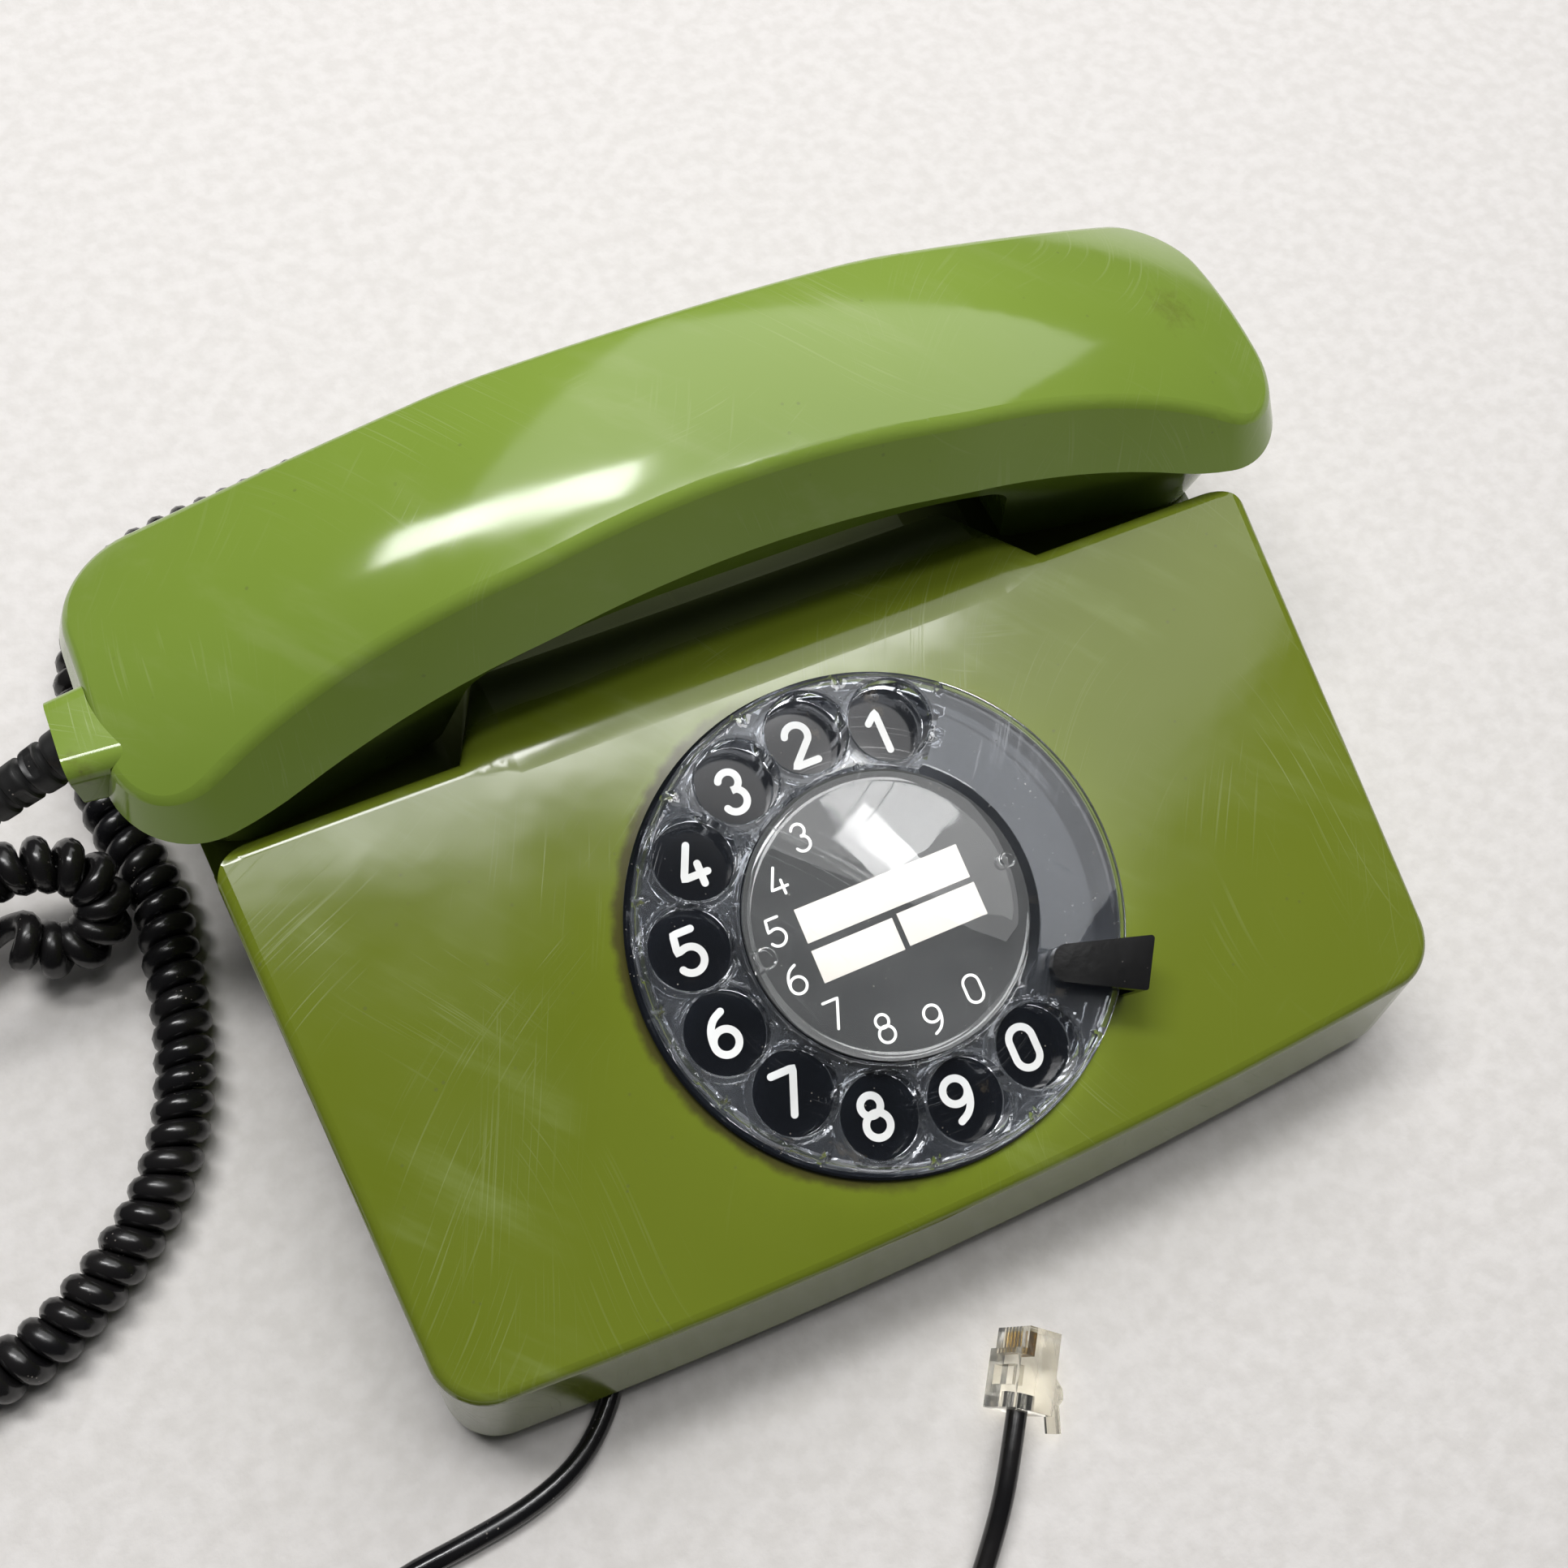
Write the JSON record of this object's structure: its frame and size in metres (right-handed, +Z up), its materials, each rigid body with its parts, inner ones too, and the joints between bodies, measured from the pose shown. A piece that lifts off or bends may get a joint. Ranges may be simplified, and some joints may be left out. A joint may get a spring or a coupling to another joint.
{
  "type": "rotary desk telephone",
  "caption": "Compact green rotary desk telephone with clear finger wheel, handset in its cradle, black curly cord and line cord with modular plug.",
  "frame": {"origin": "on the table under the middle of the telephone (housing and handset together, cords left out)", "axes": "+X to the right of the person who dials, +Y to the back, +Z up"},
  "size_m": [0.2827, 0.2656, 0.0833],
  "materials": {
    "shell_green": "glossy moulded plastic with fine scratches",
    "plate_steel": "zinc-plated sheet",
    "foot_rubber": "matt",
    "screw_steel": "zinc-plated",
    "ring_black": "glossy black with pale printed numerals",
    "wheel_clear": "clear moulded plastic, worn",
    "label_card": "dark card with pale blank panels",
    "stop_black": "black lacquered steel",
    "dial_brass": "turned brass",
    "dial_steel": "bright steel",
    "relay_black": "matt moulded plastic",
    "capsule_metal": "satin",
    "gong_brass": "bright",
    "coil_copper": "lacquered wire",
    "board_brown": "paper laminate",
    "capacitor_case": "satin",
    "cord_black": "glossy flexible sheath",
    "plug_clear": "clear plastic",
    "contact_gilt": "gilt"
  },
  "bodies": {
    "base": {"housing": "shell_green", "base_plate": "plate_steel", "feet": "foot_rubber", "base_screws": "screw_steel", "number_ring": "ring_black", "finger_stop": "stop_black", "dial_frame": "plate_steel", "dial_back_plate": "plate_steel", "dial_pillars": "dial_steel", "governor_drum": "dial_steel", "return_spring": "dial_steel", "pulse_contacts": "relay_black", "dial_screws": "screw_steel", "handset_cord_gland": "cord_black", "handset_cord_tail": "cord_black", "handset_cord": "cord_black", "hook_spring": "dial_steel", "hook_contacts": "relay_black", "ringer_bracket": "plate_steel", "low_gong": "gong_brass", "high_gong": "gong_brass", "gong_screws": "screw_steel", "ringer_coil": "coil_copper", "circuit_board": "board_brown", "induction_coil": "coil_copper", "capacitor": "capacitor_case", "terminal_block": "relay_black", "line_cord_gland": "cord_black", "line_cord": "cord_black", "line_cord_coil": "cord_black", "line_cord_tail": "cord_black", "plug_body": "plug_clear", "plug_contacts": "contact_gilt"},
    "dial": {"finger_wheel": "wheel_clear", "label_disc": "label_card", "label_cover": "wheel_clear", "dial_spindle": "dial_steel", "main_gear": "dial_brass"},
    "arbor": {"gear_arbor": "dial_brass"},
    "governor_rotor": {"governor": "dial_brass"},
    "handset": {"handset_upper_shell": "shell_green", "handset_lower_shell": "shell_green", "transmitter_capsule": "capsule_metal", "receiver_capsule": "capsule_metal", "handset_screws": "screw_steel", "handset_cord_boss": "shell_green", "handset_strain_relief": "cord_black"},
    "hook": {"hook_plungers": "shell_green"},
    "clapper_arm": {"clapper": "dial_brass"},
    "latch": {"plug_latch": "plug_clear"}
  },
  "joints": [
    {"name": "dial_turn", "type": "hinge", "parent": "base", "child": "dial", "pos_m": [0, -0.03, 0.0386], "axis": [0, -0.2207, 0.9753], "range_deg": [-312, 0], "stiffness_Nm_per_rad": 0.004, "springref_deg": 68.75},
    {"name": "arbor_turn", "type": "hinge", "parent": "base", "child": "arbor", "pos_m": [-0.00722, -0.04935, 0.03422], "axis": [0, -0.2207, 0.9753], "range_deg": [-4, 1252]},
    {"name": "governor_turn", "type": "hinge", "parent": "base", "child": "governor_rotor", "pos_m": [0.00745, -0.05136, 0.03376], "axis": [0, -0.2207, 0.9753], "range_deg": [-4000, 12]},
    {"name": "handset_lift", "type": "slide", "parent": "base", "child": "handset", "axis": [0, 0, 1], "range_m": [0, 0.12]},
    {"name": "hook_rise", "type": "slide", "parent": "base", "child": "hook", "axis": [0, 0, 1], "range_m": [0, 0.005], "stiffness_N_per_m": 20, "springref_m": 0.012, "deforming": ["hook_spring"]},
    {"name": "clapper_swing", "type": "hinge", "parent": "base", "child": "clapper_arm", "pos_m": [-0.053, -0.02519, 0.014], "axis": [0, 0, 1], "range_deg": [-10, 10], "stiffness_Nm_per_rad": 0.0005},
    {"name": "latch_press", "type": "hinge", "parent": "base", "child": "latch", "pos_m": [0.0024, -0.09536, 0.00457], "axis": [-0.2767, 0.201, -0.9397], "range_deg": [0, 8], "stiffness_Nm_per_rad": 0.05, "springref_deg": -5.73}
  ],
  "couplings": [
    {"joint": "arbor_turn", "follows": "dial_turn", "ratio": -4},
    {"joint": "governor_turn", "follows": "dial_turn", "ratio": 12.8},
    {"joint": "hook_rise", "follows": "handset_lift", "ratio": 0.0416}
  ]
}
